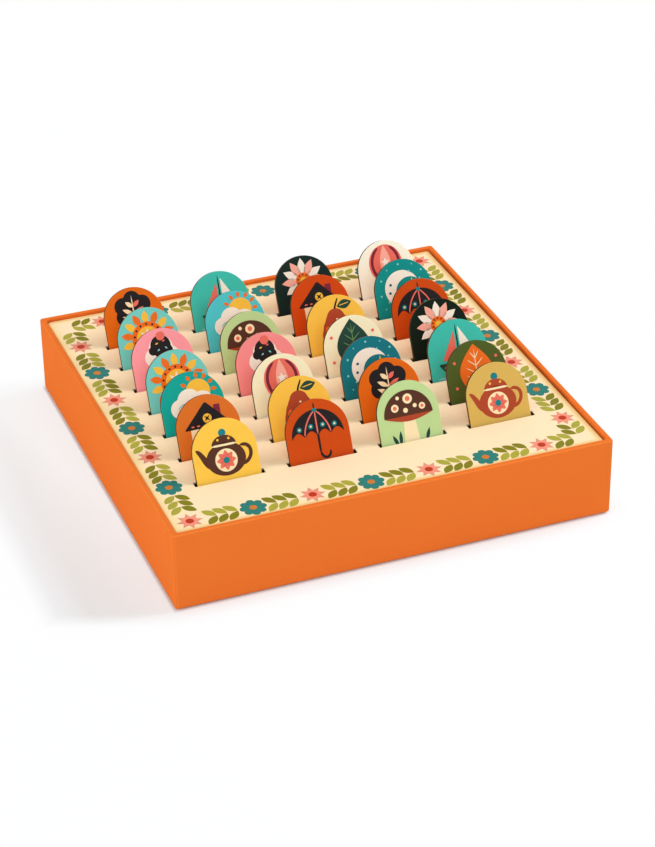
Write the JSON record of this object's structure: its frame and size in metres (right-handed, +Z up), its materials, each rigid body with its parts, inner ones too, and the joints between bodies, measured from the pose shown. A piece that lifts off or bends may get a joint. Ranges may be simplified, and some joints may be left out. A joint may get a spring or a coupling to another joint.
{
  "type": "memory card game",
  "caption": "Shallow square game box with a slotted card deck; round-topped picture tiles lean back in the slots and lift out along their slope.",
  "frame": {"origin": "middle of the box's underside, on the table", "axes": "+Z up, +X to the right and +Y from the front of the box to its back, the way the tiles lean; the tiles' picture sides face -Y"},
  "size_m": [0.22, 0.22, 0.0642],
  "materials": {
    "orange_wrap": "matte coated paper",
    "printed_card": "matte printed card",
    "white_card": "plain card",
    "greyboard": "raw greyboard",
    "tape": "paper tape",
    "tile_aqua": "satin printed paper on board",
    "tile_black_green": "satin printed paper on board",
    "tile_cream": "satin printed paper on board",
    "tile_dark_green": "satin printed paper on board",
    "tile_light_green": "satin printed paper on board",
    "tile_olive": "satin printed paper on board",
    "tile_orange": "satin printed paper on board",
    "tile_orange_brown": "satin printed paper on board",
    "tile_petrol": "satin printed paper on board",
    "tile_pink": "satin printed paper on board",
    "tile_red": "satin printed paper on board",
    "tile_red_orange": "satin printed paper on board",
    "tile_sky": "satin printed paper on board",
    "tile_tan_yellow": "satin printed paper on board",
    "tile_teal_green": "satin printed paper on board",
    "tile_turquoise": "satin printed paper on board",
    "tile_yellow": "satin printed paper on board"
  },
  "bodies": {
    "box": {"outer_wrap": "orange_wrap", "floor_board": "greyboard", "front_wall_board": "greyboard", "back_wall_board": "greyboard", "left_wall_board": "greyboard", "right_wall_board": "greyboard", "corner_stay_front_left": "tape", "corner_stay_front_right": "tape", "corner_stay_back_right": "tape", "corner_stay_back_left": "tape", "slotted_deck": "printed_card", "foot_board": "greyboard", "deck_rib_1": "white_card", "deck_rib_2": "white_card", "deck_rib_3": "white_card"},
    "tile_row1_col1_body": {"tile_row1_col1": "tile_yellow"},
    "tile_row1_col2_body": {"tile_row1_col2": "tile_red_orange"},
    "tile_row1_col3_body": {"tile_row1_col3": "tile_light_green"},
    "tile_row1_col4_body": {"tile_row1_col4": "tile_tan_yellow"},
    "tile_row2_col1_body": {"tile_row2_col1": "tile_orange_brown"},
    "tile_row2_col2_body": {"tile_row2_col2": "tile_yellow"},
    "tile_row2_col3_body": {"tile_row2_col3": "tile_orange"},
    "tile_row2_col4_body": {"tile_row2_col4": "tile_olive"},
    "tile_row3_col1_body": {"tile_row3_col1": "tile_teal_green"},
    "tile_row3_col2_body": {"tile_row3_col2": "tile_cream"},
    "tile_row3_col3_body": {"tile_row3_col3": "tile_petrol"},
    "tile_row3_col4_body": {"tile_row3_col4": "tile_turquoise"},
    "tile_row4_col1_body": {"tile_row4_col1": "tile_aqua"},
    "tile_row4_col2_body": {"tile_row4_col2": "tile_pink"},
    "tile_row4_col3_body": {"tile_row4_col3": "tile_cream"},
    "tile_row4_col4_body": {"tile_row4_col4": "tile_black_green"},
    "tile_row5_col1_body": {"tile_row5_col1": "tile_pink"},
    "tile_row5_col2_body": {"tile_row5_col2": "tile_light_green"},
    "tile_row5_col3_body": {"tile_row5_col3": "tile_yellow"},
    "tile_row5_col4_body": {"tile_row5_col4": "tile_red_orange"},
    "tile_row6_col1_body": {"tile_row6_col1": "tile_aqua"},
    "tile_row6_col2_body": {"tile_row6_col2": "tile_sky"},
    "tile_row6_col3_body": {"tile_row6_col3": "tile_red"},
    "tile_row6_col4_body": {"tile_row6_col4": "tile_petrol"},
    "tile_row7_col1_body": {"tile_row7_col1": "tile_orange"},
    "tile_row7_col2_body": {"tile_row7_col2": "tile_turquoise"},
    "tile_row7_col3_body": {"tile_row7_col3": "tile_dark_green"},
    "tile_row7_col4_body": {"tile_row7_col4": "tile_cream"}
  },
  "joints": [
    {"name": "tile_row1_col1_lift", "type": "slide", "parent": "box", "child": "tile_row1_col1_body", "axis": [0, 0.4446, 0.8957], "range_m": [0, 0.046]},
    {"name": "tile_row1_col2_lift", "type": "slide", "parent": "box", "child": "tile_row1_col2_body", "axis": [0, 0.4446, 0.8957], "range_m": [0, 0.046]},
    {"name": "tile_row1_col3_lift", "type": "slide", "parent": "box", "child": "tile_row1_col3_body", "axis": [0, 0.4446, 0.8957], "range_m": [0, 0.046]},
    {"name": "tile_row1_col4_lift", "type": "slide", "parent": "box", "child": "tile_row1_col4_body", "axis": [0, 0.4446, 0.8957], "range_m": [0, 0.046]},
    {"name": "tile_row2_col1_lift", "type": "slide", "parent": "box", "child": "tile_row2_col1_body", "axis": [0, 0.4446, 0.8957], "range_m": [0, 0.046]},
    {"name": "tile_row2_col2_lift", "type": "slide", "parent": "box", "child": "tile_row2_col2_body", "axis": [0, 0.4446, 0.8957], "range_m": [0, 0.046]},
    {"name": "tile_row2_col3_lift", "type": "slide", "parent": "box", "child": "tile_row2_col3_body", "axis": [0, 0.4446, 0.8957], "range_m": [0, 0.046]},
    {"name": "tile_row2_col4_lift", "type": "slide", "parent": "box", "child": "tile_row2_col4_body", "axis": [0, 0.4446, 0.8957], "range_m": [0, 0.046]},
    {"name": "tile_row3_col1_lift", "type": "slide", "parent": "box", "child": "tile_row3_col1_body", "axis": [0, 0.4446, 0.8957], "range_m": [0, 0.046]},
    {"name": "tile_row3_col2_lift", "type": "slide", "parent": "box", "child": "tile_row3_col2_body", "axis": [0, 0.4446, 0.8957], "range_m": [0, 0.046]},
    {"name": "tile_row3_col3_lift", "type": "slide", "parent": "box", "child": "tile_row3_col3_body", "axis": [0, 0.4446, 0.8957], "range_m": [0, 0.046]},
    {"name": "tile_row3_col4_lift", "type": "slide", "parent": "box", "child": "tile_row3_col4_body", "axis": [0, 0.4446, 0.8957], "range_m": [0, 0.046]},
    {"name": "tile_row4_col1_lift", "type": "slide", "parent": "box", "child": "tile_row4_col1_body", "axis": [0, 0.4446, 0.8957], "range_m": [0, 0.046]},
    {"name": "tile_row4_col2_lift", "type": "slide", "parent": "box", "child": "tile_row4_col2_body", "axis": [0, 0.4446, 0.8957], "range_m": [0, 0.046]},
    {"name": "tile_row4_col3_lift", "type": "slide", "parent": "box", "child": "tile_row4_col3_body", "axis": [0, 0.4446, 0.8957], "range_m": [0, 0.046]},
    {"name": "tile_row4_col4_lift", "type": "slide", "parent": "box", "child": "tile_row4_col4_body", "axis": [0, 0.4446, 0.8957], "range_m": [0, 0.046]},
    {"name": "tile_row5_col1_lift", "type": "slide", "parent": "box", "child": "tile_row5_col1_body", "axis": [0, 0.4446, 0.8957], "range_m": [0, 0.046]},
    {"name": "tile_row5_col2_lift", "type": "slide", "parent": "box", "child": "tile_row5_col2_body", "axis": [0, 0.4446, 0.8957], "range_m": [0, 0.046]},
    {"name": "tile_row5_col3_lift", "type": "slide", "parent": "box", "child": "tile_row5_col3_body", "axis": [0, 0.4446, 0.8957], "range_m": [0, 0.046]},
    {"name": "tile_row5_col4_lift", "type": "slide", "parent": "box", "child": "tile_row5_col4_body", "axis": [0, 0.4446, 0.8957], "range_m": [0, 0.046]},
    {"name": "tile_row6_col1_lift", "type": "slide", "parent": "box", "child": "tile_row6_col1_body", "axis": [0, 0.4446, 0.8957], "range_m": [0, 0.046]},
    {"name": "tile_row6_col2_lift", "type": "slide", "parent": "box", "child": "tile_row6_col2_body", "axis": [0, 0.4446, 0.8957], "range_m": [0, 0.046]},
    {"name": "tile_row6_col3_lift", "type": "slide", "parent": "box", "child": "tile_row6_col3_body", "axis": [0, 0.4446, 0.8957], "range_m": [0, 0.046]},
    {"name": "tile_row6_col4_lift", "type": "slide", "parent": "box", "child": "tile_row6_col4_body", "axis": [0, 0.4446, 0.8957], "range_m": [0, 0.046]},
    {"name": "tile_row7_col1_lift", "type": "slide", "parent": "box", "child": "tile_row7_col1_body", "axis": [0, 0.4446, 0.8957], "range_m": [0, 0.046]},
    {"name": "tile_row7_col2_lift", "type": "slide", "parent": "box", "child": "tile_row7_col2_body", "axis": [0, 0.4446, 0.8957], "range_m": [0, 0.046]},
    {"name": "tile_row7_col3_lift", "type": "slide", "parent": "box", "child": "tile_row7_col3_body", "axis": [0, 0.4446, 0.8957], "range_m": [0, 0.046]},
    {"name": "tile_row7_col4_lift", "type": "slide", "parent": "box", "child": "tile_row7_col4_body", "axis": [0, 0.4446, 0.8957], "range_m": [0, 0.046]}
  ]
}
